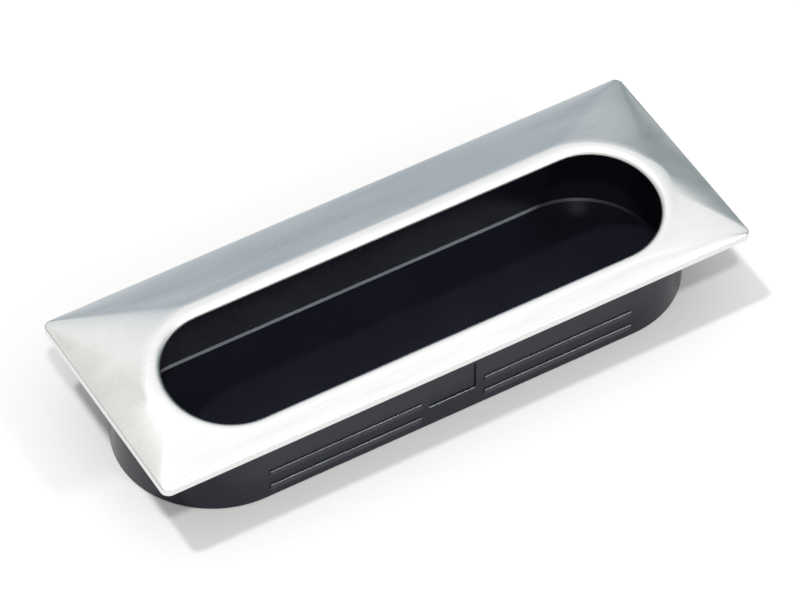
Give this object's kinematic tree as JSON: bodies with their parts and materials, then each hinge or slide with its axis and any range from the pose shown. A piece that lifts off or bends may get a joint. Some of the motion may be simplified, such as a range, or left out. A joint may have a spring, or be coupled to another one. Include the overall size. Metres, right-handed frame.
{
  "type": "flush pull",
  "caption": "Flush pull with a pressed satin cover, an off-centre rounded finger opening with a raised grip edge, and a deep moulded cup with press-fit barbs.",
  "frame": {"origin": "middle of the cup's underside", "axes": "+Z out of the door, +X along the pull, +Y towards the broad grip strip"},
  "size_m": [0.12, 0.0454, 0.0238],
  "materials": {
    "cover": "satin, brushed along the length",
    "cup": "fine moulded matt"
  },
  "bodies": {
    "root": {"cover": "cover", "cup": "cup"}
  },
  "joints": []
}
